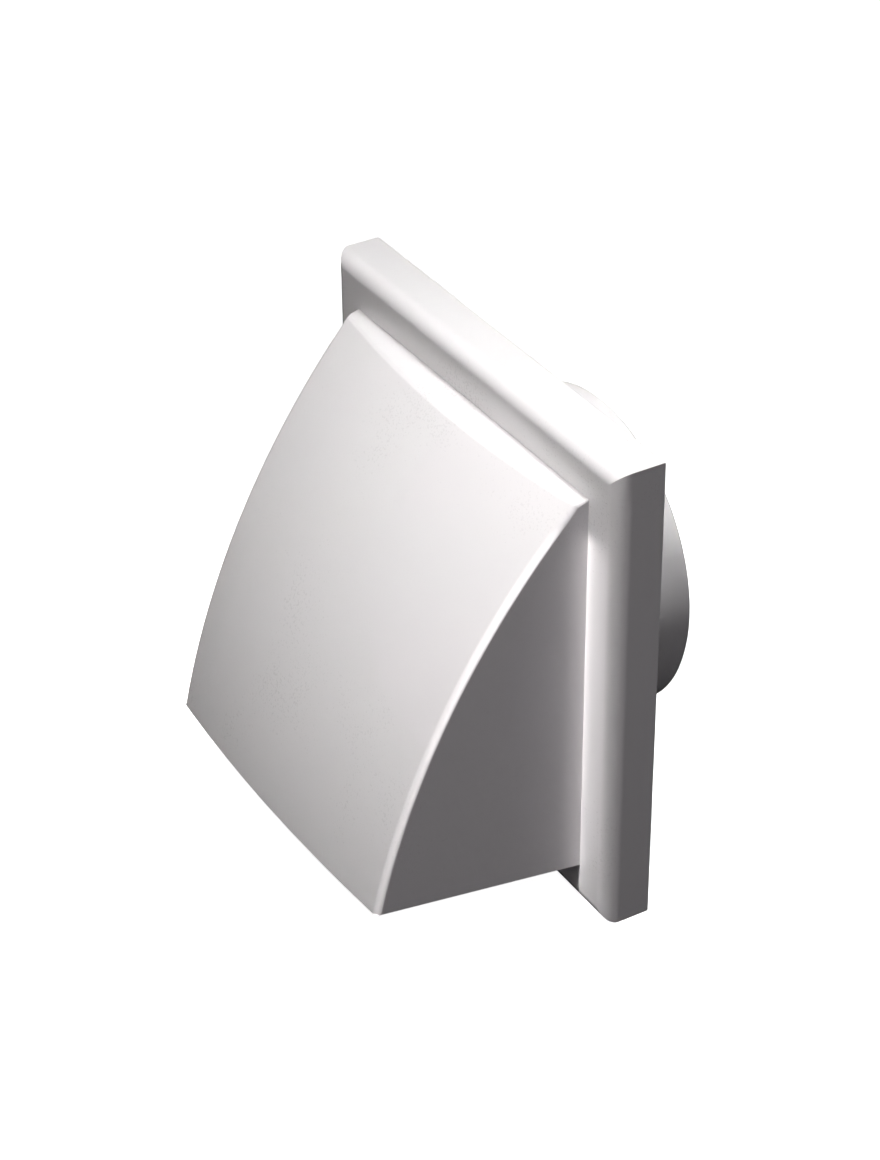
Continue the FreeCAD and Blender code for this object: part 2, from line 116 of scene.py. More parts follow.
class Workpiece:
    """One mesh on the bench, in millimetres, shaped with Blender's own operators."""

    def __init__(self, name: str) -> None:
        """Takes the mesh that an operator has just added.

        Args:
            name: The piece's name.
        """
        self.thing = bpy.context.object
        self.thing.name = name
        self.thing.data.name = name

    @classmethod
    def block(cls, name: str, low: Point, high: Point) -> "Workpiece":
        """A box between two corners.

        Args:
            name: The piece's name.
            low: Its lowest corner.
            high: Its highest corner.

        Returns:
            The box.
        """
        clear_selection()
        centre = (Vector(low) + Vector(high)) / 2
        bpy.ops.mesh.primitive_cube_add(size=1.0, location=centre, scale=Vector(high) - Vector(low))
        apply_placing()
        return cls(name)

    @classmethod
    def rod(cls, name: str, start: Point, end: Point, radius: float, sides: int = 48,
            end_radius: float | None = None) -> "Workpiece":
        """A round rod or a cone between two points.

        Args:
            name: The piece's name.
            start: The middle of its first end.
            end: The middle of its other end.
            radius: Its radius at the first end.
            sides: How many flats go round it.
            end_radius: Its radius at the other end, or None for the same.

        Returns:
            The rod.
        """
        clear_selection()
        axis = Vector(end) - Vector(start)
        turn = axis.to_track_quat("Z", "Y").to_euler()
        bpy.ops.mesh.primitive_cone_add(
            vertices=sides, radius1=radius, radius2=radius if end_radius is None else end_radius,
            depth=axis.length, location=(Vector(start) + Vector(end)) / 2, rotation=turn)
        apply_placing()
        return cls(name)

    @classmethod
    def spot(cls, name: str, place: Vector) -> "Workpiece":
        """A single vertex to spin or extrude from.

        Args:
            name: The piece's name.
            place: Where the vertex is.

        Returns:
            The piece.
        """
        clear_selection()
        bpy.ops.mesh.primitive_plane_add(size=1.0, location=place)
        apply_placing()
        piece = cls(name)
        with piece.editing():
            bpy.ops.mesh.merge(type="CENTER")
        return piece

    def editing(self) -> "Editing":
        """Edit mode with everything selected, as a with block."""
        return Editing(self.thing)

    def mirrored(self, axis: int) -> "Workpiece":
        """A copy on the other side of one of the grille's middle planes.

        Args:
            axis: The axis that the plane lies across, 0 for X and 2 for Z.

        Returns:
            The copy, with its own mesh.
        """
        pick(self.thing)
        bpy.ops.object.duplicate(linked=False)
        copy = Workpiece(self.thing.name + "_copy")
        factors = [1.0, 1.0, 1.0]
        factors[axis] = -1.0
        with copy.editing() as edit:
            edit.stretch(tuple(factors), (0, 0, 0))
            edit.face_out()
        return copy

    def pair(self) -> list["Workpiece"]:
        """The piece and its copy on the left."""
        return [self, self.mirrored(0)]

    def quarters(self) -> list["Workpiece"]:
        """The piece and its copies on the left, at the foot and in both places at once.

        Returns:
            The four pieces.
        """
        pair = self.pair()
        return pair + [one.mirrored(2) for one in pair]

    def modify(self, kind: str, **settings: object) -> "Workpiece":
        """Adds a modifier and applies it.

        Args:
            kind: Blender's name for the modifier.
            settings: Its settings.

        Returns:
            The same piece.
        """
        modifier = self.thing.modifiers.new(kind.lower(), kind)
        for name, value in settings.items():
            setattr(modifier, name, value)
        bpy.context.view_layer.objects.active = self.thing
        bpy.ops.object.modifier_apply(modifier=modifier.name)
        return self

    def work_in(self, other: "Workpiece", how: Joining) -> "Workpiece":
        """Unites another closed mesh with this one, or cuts it out, and uses it up.

        Args:
            other: The other mesh.
            how: Whether it is united or cut out.

        Returns:
            The same piece.
        """
        self.modify("BOOLEAN", object=other.thing, operation=how.value, solver="EXACT")
        bpy.data.meshes.remove(other.thing.data)
        return self

    def soften(self, width: float, segments: int = 2, above: float = 50.0) -> "Workpiece":
        """Rounds every edge that turns by more than an angle.

        Args:
            width: How far the rounding reaches to each side.
            segments: How many strips it has.
            above: The least turn that is rounded, in degrees.

        Returns:
            The same piece.
        """
        return self.modify("BEVEL", width=width, segments=segments, limit_method="ANGLE",
                           angle_limit=math.radians(above), use_clamp_overlap=True)

    def shade(self, sharp_above: float, weighted: bool = True) -> "Workpiece":
        """Shades the piece smooth apart from its sharp edges.

        Args:
            sharp_above: The turn past which an edge stays sharp, in degrees.
            weighted: Whether wide faces keep their own direction.

        Returns:
            The same piece.
        """
        pick(self.thing)
        bpy.ops.object.shade_smooth_by_angle(angle=math.radians(sharp_above))
        if weighted:
            self.modify("WEIGHTED_NORMAL", keep_sharp=True, weight=100)
        return self

    def to_metres(self) -> bpy.types.Object:
        """Scales the finished mesh from millimetres to metres.

        Returns:
            Its object, at the origin, unturned and unscaled.
        """
        pick(self.thing)
        self.thing.scale = (METRES, METRES, METRES)
        apply_placing()
        return self.thing


class Editing:
    """Edit mode on one object, entered and left by a with block."""

    def __init__(self, thing: bpy.types.Object) -> None:
        """Remembers the object.

        Args:
            thing: The object to edit.
        """
        self.thing = thing

    def __enter__(self) -> "Editing":
        """Starts edit mode with everything selected.

        Returns:
            This edit mode, for the with block.
        """
        pick(self.thing)
        bpy.ops.object.mode_set(mode="EDIT")
        self.take_all()
        return self

    def __exit__(self, *problem: object) -> None:
        """Goes back to object mode."""
        bpy.ops.object.mode_set(mode="OBJECT")

    def take_all(self) -> None:
        """Selects the whole mesh by its vertices."""
        bpy.ops.mesh.select_mode(type="VERT")
        bpy.ops.mesh.select_all(action="SELECT")

    def weld(self) -> None:
        """Merges the vertices that lie in one place."""
        self.take_all()
        bpy.ops.mesh.remove_doubles(threshold=NEAR)

    def face_out(self) -> None:
        """Turns the front of every face outwards."""
        self.take_all()
        bpy.ops.mesh.normals_make_consistent(inside=False)

    def elements(self, kind: Kind) -> Sequence[Element]:
        """The mesh's vertices, edges or faces.

        Args:
            kind: Which of them.

        Returns:
            All of that kind.
        """
        mesh = bmesh.from_edit_mesh(self.thing.data)
        return {Kind.VERTS: mesh.verts, Kind.EDGES: mesh.edges, Kind.FACES: mesh.faces}[kind]

    def select(self, kind: Kind, test: Callable[[Element], bool]) -> int:
        """Selects what passes a test, and nothing else.

        Args:
            kind: Whether vertices, edges or faces are tested.
            test: Says whether one of them is selected.

        Returns:
            How many are selected.
        """
        bpy.ops.mesh.select_all(action="DESELECT")
        bpy.ops.mesh.select_mode(type=kind.value)
        chosen = [element for element in self.elements(kind) if test(element)]
        for element in chosen:
            element.select_set(True)
        mesh = bmesh.from_edit_mesh(self.thing.data)
        mesh.select_flush_mode()
        bmesh.update_edit_mesh(self.thing.data)
        return len(chosen)

    def selected(self) -> list[Vector]:
        """The places of the selected vertices."""
        return [vert.co.copy() for vert in self.elements(Kind.VERTS) if vert.select]

    def extrude_edges(self, move: Point = (0.0, 0.0, 0.0)) -> None:
        """Extrudes the selected edges and leaves the new ones selected.

        Args:
            move: How far the new edges move.
        """
        bpy.ops.mesh.extrude_edges_move(TRANSFORM_OT_translate={"value": move})

    def spin(self, steps: int, turn: float, centre: Vector, axis: Point) -> None:
        """Spins what is selected about an axis, by the right-hand rule.

        Args:
            steps: How many strips are made.
            turn: The whole turn, in radians.
            centre: A point on the axis.
            axis: The axis's direction.
        """
        bpy.ops.mesh.spin(steps=steps, angle=-turn, center=centre, axis=axis)

    def stretch(self, factors: Point, centre: Point) -> None:
        """Scales what is selected.

        Args:
            factors: The factor along each axis, where 0 flattens.
            centre: The point that stays.
        """
        bpy.ops.transform.resize(value=factors, center_override=centre)

    def cut_off(self, place: Point, outward: Point) -> None:
        """Cuts the whole mesh along a plane and deletes what is outside.

        Args:
            place: A point on the plane.
            outward: The plane's outward direction.
        """
        self.take_all()
        bpy.ops.mesh.bisect(plane_co=place, plane_no=Vector(outward).normalized(), clear_outer=True)


def clear_selection() -> None:
    """Deselects every object."""
    bpy.ops.object.select_all(action="DESELECT")


def apply_placing() -> None:
    """Works the picked object's place, turn and size into its mesh."""
    bpy.ops.object.transform_apply(location=True, rotation=True, scale=True)


def pick(thing: bpy.types.Object) -> None:
    """Selects one object alone and makes it the active one.

    Args:
        thing: The object.
    """
    clear_selection()
    thing.select_set(True)
    bpy.context.view_layer.objects.active = thing


def away(element: Element, place: Vector, normal: Vector) -> float:
    """How far the middle of an element is from a plane.

    Args:
        element: A vertex, an edge or a face.
        place: A point on the plane.
        normal: The plane's direction, of length 1.

    Returns:
        The distance, positive on the side that the direction points to.
    """
    return (middle(element) - place).dot(normal)


@dataclass(frozen=True)
class MouldedPlastic:
    """White moulded plastic: a fine skin, soft waves under its gloss and faint clouds in its colour.

    The pattern sizes are in metres.
    """

    name: str
    colour: Colour
    cloud_colour: Colour
    roughness: float
    roughness_swing: float
    gloss_coat: float
    coat_roughness: float
    skin_strength: float
    wave_strength: float
    cloud_size: float = 0.045
    wave_size: float = 0.009
    skin_size: float = 0.0007
    skin_depth: float = 0.00002
    wave_depth: float = 0.00012
    cloud_detail: float = 3.0
    skin_detail: float = 2.0
    wave_detail: float = 1.0
    refraction: float = 1.5
    coat_refraction: float = 1.6
    sheen_span: tuple[float, float] = (0.7, 1.3)

    def mix(self) -> bpy.types.Material:
        """Builds the finish.

        Returns:
            The material.
        """
        paint = bpy.data.materials.new(self.name)
        paint.use_nodes = True
        nodes, links = paint.node_tree.nodes, paint.node_tree.links
        shader = nodes["Principled BSDF"]
        shader.inputs["IOR"].default_value = self.refraction
        shader.inputs["Coat Weight"].default_value = self.gloss_coat
        shader.inputs["Coat Roughness"].default_value = self.coat_roughness
        shader.inputs["Coat IOR"].default_value = self.coat_refraction
        place = nodes.new("ShaderNodeTexCoord")

        clouds = self.pattern(nodes, links, place, self.cloud_size, self.cloud_detail)
        tint = nodes.new("ShaderNodeMix")
        tint.data_type = "RGBA"
        tint.inputs["A"].default_value = (*self.colour, 1)
        tint.inputs["B"].default_value = (*self.cloud_colour, 1)
        links.new(clouds.outputs["Fac"], tint.inputs["Factor"])
        links.new(tint.outputs["Result"], shader.inputs["Base Color"])

        skin = self.pattern(nodes, links, place, self.skin_size, self.skin_detail)
        blend = nodes.new("ShaderNodeMath")
        blend.operation = "ADD"
        links.new(clouds.outputs["Fac"], blend.inputs[0])
        links.new(skin.outputs["Fac"], blend.inputs[1])
        sheen = nodes.new("ShaderNodeMapRange")
        sheen.inputs["From Min"].default_value = self.sheen_span[0]
        sheen.inputs["From Max"].default_value = self.sheen_span[1]
        sheen.inputs["To Min"].default_value = self.roughness - self.roughness_swing
        sheen.inputs["To Max"].default_value = self.roughness + self.roughness_swing
        links.new(blend.outputs["Value"], sheen.inputs["Value"])
        links.new(sheen.outputs["Result"], shader.inputs["Roughness"])

        waves = self.pattern(nodes, links, place, self.wave_size, self.wave_detail)
        wave_bump = self.relief(nodes, links, waves, self.wave_strength, self.wave_depth)
        skin_bump = self.relief(nodes, links, skin, self.skin_strength, self.skin_depth)
        links.new(wave_bump.outputs["Normal"], skin_bump.inputs["Normal"])
        links.new(skin_bump.outputs["Normal"], shader.inputs["Normal"])
        links.new(wave_bump.outputs["Normal"], shader.inputs["Coat Normal"])
        return paint

    def pattern(self, nodes: bpy.types.Nodes, links: bpy.types.NodeLinks, place: bpy.types.Node,
                size: float, detail: float) -> bpy.types.Node:
        """A soft random pattern in the piece's own coordinates.

        Args:
            nodes: The material's nodes.
            links: The material's links.
            place: The node that gives the coordinates.
            size: The pattern's grain in metres.
            detail: How many finer patterns are added to it.

        Returns:
            The noise node.
        """
        noise = nodes.new("ShaderNodeTexNoise")
        noise.inputs["Scale"].default_value = 1 / size
        noise.inputs["Detail"].default_value = detail
        noise.inputs["Roughness"].default_value = 0.5
        links.new(place.outputs["Object"], noise.inputs["Vector"])
        return noise

    def relief(self, nodes: bpy.types.Nodes, links: bpy.types.NodeLinks, pattern: bpy.types.Node,
               strength: float, depth: float) -> bpy.types.Node:
        """A pattern turned into fine relief.

        Args:
            nodes: The material's nodes.
            links: The material's links.
            pattern: The node that gives the pattern.
            strength: How strongly the relief shows.
            depth: How deep it is, in metres.

        Returns:
            The bump node.
        """
        bump = nodes.new("ShaderNodeBump")
        bump.inputs["Strength"].default_value = strength
        bump.inputs["Distance"].default_value = depth
        links.new(pattern.outputs["Fac"], bump.inputs["Height"])
        return bump


GLOSSY_WHITE = MouldedPlastic(
    "cover_glossy_white", colour=(0.80, 0.785, 0.785), cloud_colour=(0.79, 0.775, 0.78), roughness=0.3,
    roughness_swing=0.03, gloss_coat=1.0, coat_roughness=0.15, skin_strength=0.06, wave_strength=0.012)
SATIN_WHITE = MouldedPlastic(
    "base_satin_white", colour=(0.79, 0.775, 0.775), cloud_colour=(0.775, 0.76, 0.765), roughness=0.36,
    roughness_swing=0.04, gloss_coat=0.7, coat_roughness=0.2, skin_strength=0.12, wave_strength=0.015)
MATT_WHITE = MouldedPlastic(
    "flap_matt_white", colour=(0.78, 0.77, 0.765), cloud_colour=(0.76, 0.75, 0.75), roughness=0.58,
    roughness_swing=0.07, gloss_coat=0.0, coat_roughness=0.3, skin_strength=0.35, wave_strength=0.03,
    skin_size=0.001)


class Moulding:
    """What the three mouldings share: the solid that each dresses, its finish and its handing over."""

    node: ClassVar[str]
    body: ClassVar[str]
    material_slot: ClassVar[str]
    finish: ClassVar[MouldedPlastic]

    def build(self) -> bpy.types.Object:
        """Models the moulding's mesh, in metres."""
        raise NotImplementedError

    def dress(self) -> bpy.types.Object:
        """Models the moulding, gives it its finish and puts it in its solid's place.

        Returns:
            The finished piece.
        """
        shell = self.build()
        shell.data.materials.clear()
        shell.data.materials.append(self.finish.mix())
        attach(shell, self.body)
        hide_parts(self.node)
        return shell


@dataclass
class HoodedCover(Moulding):
    """The face plate, its rim and the hood, moulded in one piece. Lengths are in millimetres."""

    node: ClassVar[str] = "cover"
    body: ClassVar[str] = "housing"
    material_slot: ClassVar[str] = "cover_plastic"
    finish: ClassVar[MouldedPlastic] = GLOSSY_WHITE

    half_face: float
    rim_depth: float = 15.3
    rim_wall: float = 2.0
    edge_round: float = 4.9
    round_strips: int = 8
    side_margin: float = 13.8
    top_margin: float = 14.0
    foot_margin: float = 14.0
    lip_taper: float = 3.2
    hood_reach: float = 69.5
    lip_rise: float = 7.3
    crease_reach: float = 8.4
    crease_fall: float = 1.1
    hood_radius: float = 258.9
    crown_radius: float = 706.0
    hood_wall: float = 2.2
    hood_edge: float = 1.9
    ledge_edge: float = 0.5
    taper_reach: float = 6.0
    crease_soft: float = 1.1
    edge_strips: int = 6
    crease_strips: int = 3
    moulding_soft: float = 0.3
    foot_band: float = 0.3
    sill: float = 3.0
    column_step: float = 14.0
    columns: int = 10
    rows: int = 38
    post_inset: float = 5.0
    post_radius: float = 3.0
    post_back: float = 2.0
    catch_spacing: float = 84.0
    catch_width: float = 16.0
    catch_depth: float = 1.4
    catch_height: float = 1.0
    catch_setback: float = 4.4

    def __post_init__(self) -> None:
        """Works out the shared places from the driving sizes."""
        self.front = -self.rim_depth
        self.half_hood = self.half_face - self.side_margin
        self.top = self.half_face - self.top_margin
        self.foot = self.foot_margin - self.half_face
        self.lip_height = self.foot + self.lip_rise
        self.crease_height = self.top - self.crease_fall
        rise = self.crease_height - self.lip_height
        reach = self.hood_reach - self.crease_reach
        chord = math.hypot(rise, reach)
        depth = math.sqrt(self.hood_radius ** 2 - chord ** 2 / 4)
        self.axis_back = depth * rise / chord - (self.crease_reach + self.hood_reach) / 2 + self.front
        self.axis_height = (self.crease_height + self.lip_height) / 2 - depth * reach / chord
        self.crease_turn = math.asin((self.crease_height - self.axis_height) / self.hood_radius)
        self.lip_turn = math.asin((self.lip_height - self.axis_height) / self.hood_radius)

    def build(self) -> bpy.types.Object:
        """Models the cover.

        Returns:
            The finished mesh object, in metres.
        """
        piece = self.hood_front()
        self.hood_walls(piece)
        self.round_crease(piece)
        self.plate(piece)
        self.thicken(piece)
        self.round_sides(piece)
        self.inner_features(piece)
        piece.shade(sharp_above=50.0)
        return piece.to_metres()

    def hood_front(self) -> Workpiece:
        """Spins the doubly curved front of the hood and trims it to its four edges.

        Returns:
            The open sheet of the front.
        """
        crown_back = self.crown_radius - self.hood_radius
        spare_top = math.radians(2.2)
        spare_foot = math.radians(0.9)
        top_strip = math.radians(3.0)
        foot_strip = math.radians(1.6)
        start = self.crease_turn + spare_top
        outward = Vector((0, -math.cos(start), math.sin(start)))
        axis = Vector((0, self.axis_back, self.axis_height))
        crown_centre = axis - outward * crown_back
        half_span = math.asin(self.column_step * self.columns / 2 / self.crown_radius)
        edge = outward * math.cos(half_span) - Vector((math.sin(half_span), 0, 0))
        piece = Workpiece.spot("cover_shell", crown_centre + edge * self.crown_radius)
        with piece.editing() as edit:
            crosswise = Vector((0, math.sin(start), math.cos(start)))
            edit.spin(self.columns, 2 * half_span, crown_centre, crosswise)
            middle_turn = start - top_strip - (self.lip_turn + foot_strip - spare_foot)
            for steps, turn in ((1, top_strip), (self.rows, middle_turn), (1, foot_strip)):
                edit.select(Kind.VERTS, self.lowest_row(edit))
                edit.spin(steps, turn, axis, (1, 0, 0))
            edit.weld()
            for place, normal in self.hood_planes():
                edit.cut_off(place, normal)
        return piece

    def lowest_row(self, edit: Editing) -> Callable[[Element], bool]:
        """A test for the row of vertices that was spun last.

        Args:
            edit: The edit mode that the mesh is in.

        Returns:
            The test.
        """
        last = min(self.turn_of(vert.co) for vert in edit.elements(Kind.VERTS))
        near = math.radians(0.1)
        return lambda vert: self.turn_of(vert.co) < last + near

    def turn_of(self, place: Vector) -> float:
        """The angle of a point about the axis of the hood's front, in radians."""
        return math.atan2(place.z - self.axis_height, self.axis_back - place.y)

    def hood_planes(self) -> list[tuple[Point, Point]]:
        """The planes of the hood's two sides, its ledge and its foot.

        Returns:
            For each plane a point on it and its outward direction.
        """
        planes = [((side.value * self.half_hood, self.front, 0.0),
                   (side.value * self.hood_reach, -self.lip_taper, 0.0)) for side in Side]
        planes.append(((0.0, self.front, self.top), (0.0, -self.crease_fall, self.crease_reach)))
        planes.append(((0.0, self.front, self.foot), (0.0, -self.lip_rise, -self.hood_reach)))
        return planes

    def off_foot(self, element: Element) -> float:
        """How far an element is above the plane of the hood's foot."""
        place, outward = self.hood_planes()[-1]
        return -away(element, Vector(place), Vector(outward).normalized())

    def at_foot(self, element: Element) -> bool:
        """Whether an element lies in the plane of the hood's foot."""
        return abs(self.off_foot(element)) < self.foot_band

    def on_plate(self, vert: Element) -> bool:
        """Whether a vertex lies in the plane of the plate's front."""
        return abs(vert.co.y - self.front) < NEAR

    def hood_walls(self, piece: Workpiece) -> None:
        """Extrudes the ledge and the side walls back from the front's edges to the plate.

        Args:
            piece: The sheet of the hood's front.
        """
        below_crease = 0.8
        inside_taper = 1.0
        ledge_foot = self.crease_height - below_crease
        wall_inside = self.half_hood - self.lip_taper - inside_taper
        with piece.editing() as edit:
            edit.select(Kind.EDGES, lambda edge: edge.is_boundary and not self.at_foot(edge))
            edit.extrude_edges()
            edit.stretch((1, 0, 1), (0, self.front, 0))
            edit.select(Kind.VERTS, lambda vert: self.on_plate(vert) and vert.co.z > ledge_foot)
            edit.stretch((1, 1, 0), (0, 0, self.top))
            for side in Side:
                edit.select(Kind.VERTS, lambda vert: self.on_plate(vert)
                            and vert.co.x * side.value > wall_inside)
                edit.stretch((0, 1, 1), (side.value * self.half_hood, 0, 0))
                lowest = min(place.z for place in edit.selected())
                edit.stretch((1, 1, (self.top - self.foot) / (self.top - lowest)), (0, 0, self.top))
            edit.face_out()
            self.face_forward(edit)

    def face_forward(self, edit: Editing) -> None:
        """Turns all faces round if the hood's front points backwards.

        Args:
            edit: The edit mode that the mesh is in.
        """
        faces = edit.elements(Kind.FACES)
        widest = max(faces, key=lambda face: -middle(face).y)
        if widest.normal.y > 0:
            edit.take_all()
            bpy.ops.mesh.flip_normals()

    def round_crease(self, piece: Workpiece) -> None:
        """Rounds the crease between the ledge and the front.

        Args:
            piece: The hood's sheet.
        """
        sideways = 0.5
        upward = 0.9

        def turns_up(edge: Element) -> bool:
            """Whether an edge lies between the ledge and the front.

            Args:
                edge: The edge.

            Returns:
                True if it does.
            """
            normals = [face.normal for face in edge.link_faces]
            on_walls = any(abs(normal.x) > sideways for normal in normals)
            on_ledge = [normal.z > upward for normal in normals]
            return len(normals) == 2 and not on_walls and on_ledge.count(True) == 1

        with piece.editing() as edit:
            edit.select(Kind.EDGES, turns_up)
            bpy.ops.mesh.bevel(offset=self.crease_soft, segments=self.crease_strips, affect="EDGES",
                               clamp_overlap=False)

    def round_sides(self, piece: Workpiece) -> None:
        """Rounds the outer side edges of the hood, and tapers the rounding off towards the ledge.

        Args:
            piece: The cover's closed shell.
        """
        sideways = 0.9

        def turns_aside(edge: Element) -> bool:
            """Whether an outer edge lies between a side wall and the ledge or the front.

            Args:
                edge: The edge.

            Returns:
                True if it does.
            """
            aside = [abs(face.normal.x) > sideways for face in edge.link_faces]
            on_hood = any(vert.co.y < self.front - NEAR for vert in edge.verts)
            at_foot = all(self.at_foot(vert) for vert in edge.verts)
            return aside.count(True) == 1 and edge.is_convex and on_hood and not at_foot

        with piece.editing() as edit:
            edit.select(Kind.EDGES, turns_aside)
            corners = edit.selected()
            bpy.ops.mesh.bevel(offset=self.hood_edge, segments=self.edge_strips, affect="EDGES",
                               clamp_overlap=False)
            rounded = {vert.index for vert in edit.elements(Kind.VERTS) if vert.select}
            for corner in corners:
                to_ledge = (corner.y - self.front + self.taper_reach) / self.taper_reach
                if to_ledge > 0:
                    edit.select(Kind.VERTS, lambda vert: vert.index in rounded
                                and min(corners, key=lambda place: (place - vert.co).length) == corner)
                    factor = 1 - min(to_ledge, 1) * (1 - self.ledge_edge / self.hood_edge)
                    edit.stretch((factor, factor, factor), corner)

    def plate(self, piece: Workpiece) -> None:
        """Extrudes the face plate from the hood's root, over the rounding and back along the rim.

        Args:
            piece: The hood's sheet.
        """
        with piece.editing() as edit:
            edit.select(Kind.VERTS, lambda vert: self.on_plate(vert) and abs(vert.co.z - self.foot) < NEAR)
            bpy.ops.mesh.edge_face_add()
            bpy.ops.mesh.subdivide(number_cuts=self.columns - 1)
            edit.select(Kind.EDGES, lambda edge: (edge.is_boundary or edge.is_wire)
                        and all(self.on_plate(vert) for vert in edge.verts))
            flat = self.half_face - self.edge_round
            edit.extrude_edges()
            edit.stretch((flat / self.half_hood, 1, flat / self.top), (0, 0, 0))
            self.square_up(edit, flat)
            size = flat
            back = self.front
            for strip in range(1, self.round_strips + 1):
                turn = math.pi / 2 * strip / self.round_strips
                new_size = flat + self.edge_round * math.sin(turn)
                new_back = self.front + self.edge_round * (1 - math.cos(turn))
                self.next_ring(edit, new_back - back, new_size / size)
                size, back = new_size, new_back
            self.next_ring(edit, -back, 1.0)
            edit.face_out()
            self.face_forward(edit)

    def square_up(self, edit: Editing, half: float) -> None:
        """Moves the selected ring onto a square, corners included.

        Args:
            edit: The edit mode that the mesh is in.
            half: Half of the square's side.
        """
        near = 0.02
        ring = [vert.index for vert in edit.elements(Kind.VERTS) if vert.select]
        for axis in (0, 2):
            for sign in (-1, 1):
                other = 2 - axis
                edit.select(Kind.VERTS, lambda vert: vert.index in ring and vert.co[axis] * sign > 0
                            and abs(vert.co[axis]) > abs(vert.co[other]) - near)
                factors = [1.0, 1.0, 1.0]
                factors[axis] = 0.0
                centre = [0.0, 0.0, 0.0]
                centre[axis] = half * sign
                edit.stretch(tuple(factors), tuple(centre))
        edit.select(Kind.VERTS, lambda vert: vert.index in ring)
        bpy.ops.mesh.select_mode(type="EDGE")

    def next_ring(self, edit: Editing, back: float, factor: float) -> None:
        """Extrudes the selected square ring once more.

        Args:
            edit: The edit mode that the mesh is in.
            back: How far the new ring is behind the last one.
            factor: How much larger it is.
        """
        edit.extrude_edges((0, back, 0))
        edit.stretch((factor, 1, factor), (0, 0, 0))

    def thicken(self, piece: Workpiece) -> None:
        """Gives the sheet its walls and softens their edges.

        Args:
            piece: The open sheet of the cover.
        """
        walls = piece.thing.vertex_groups.new(name="hood")
        hood = [vert.index for vert in piece.thing.data.vertices if vert.co.y < self.front - NEAR]
        walls.add(hood, 1.0, "REPLACE")
        piece.modify("SOLIDIFY", thickness=self.hood_wall, offset=-1.0, use_even_offset=True,
                     vertex_group="hood", thickness_vertex_group=self.rim_wall / self.hood_wall)
        piece.thing.vertex_groups.clear()
        with piece.editing() as edit:
            edit.select(Kind.EDGES, self.at_rim)
            bpy.ops.mesh.bevel(offset=self.moulding_soft, segments=2, affect="EDGES", clamp_overlap=True)
            edit.select(Kind.EDGES, self.on_mitre)
            bpy.ops.mesh.mark_sharp()

    def at_rim(self, edge: Element) -> bool:
        """Whether an edge bounds the rim's back or the hood's open foot, and turns by more than 60 degrees.

        Args:
            edge: The edge.

        Returns:
            True if it does.
        """
        spare = 0.1
        least_turn = math.radians(60)
        in_back = all(abs(vert.co.y) < NEAR for vert in edge.verts)
        in_foot = all(self.at_foot(vert) and vert.co.y < self.front + self.rim_wall + spare
                      and abs(vert.co.x) < self.half_hood + spare for vert in edge.verts)
        normals = [face.normal for face in edge.link_faces]
        sharp = len(normals) == 2 and normals[0].dot(normals[1]) < math.cos(least_turn)
        return sharp and (in_back or in_foot)

    def on_mitre(self, edge: Element) -> bool:
        """Whether an edge runs down a corner of the plate, outside its flat face.

        Args:
            edge: The edge.

        Returns:
            True if it does.
        """
        flat = self.half_face - self.edge_round - NEAR
        off_corner = 0.05
        shortest = 0.5
        return all(abs(abs(vert.co.x) - abs(vert.co.z)) < off_corner and abs(vert.co.x) > flat
                   for vert in edge.verts) and edge.calc_length() > shortest

    def inner_features(self, piece: Workpiece) -> None:
        """Adds the sill in the throat, the stand-off posts and the catches inside the rim.

        Args:
            piece: The cover's closed shell.
        """
        plate_back = self.front + self.rim_wall
        inner_half = self.half_face - self.rim_wall
        bury = 0.5
        shy = 0.05
        sill_end = self.half_hood - self.hood_wall + bury
        sill = Workpiece.block("sill", (-sill_end, self.front + shy, self.foot - bury),
                               (sill_end, plate_back - shy, self.foot + self.sill))
        piece.work_in(sill.soften(self.moulding_soft), Joining.UNITE)
        post_half = inner_half - self.post_inset
        post = Workpiece.rod("post", (post_half, plate_back - bury, post_half),
                             (post_half, -self.post_back, post_half), self.post_radius)
        left = (self.catch_spacing - self.catch_width) / 2
        catch = Workpiece.block(
            "catch", (left, -self.catch_setback - self.catch_depth, inner_half - self.catch_height),
            (left + self.catch_width, -self.catch_setback, inner_half + self.rim_wall / 2))
        for feature in (post.soften(self.moulding_soft), catch.soften(self.moulding_soft / 2)):
            for one in feature.quarters():
                piece.work_in(one, Joining.UNITE)


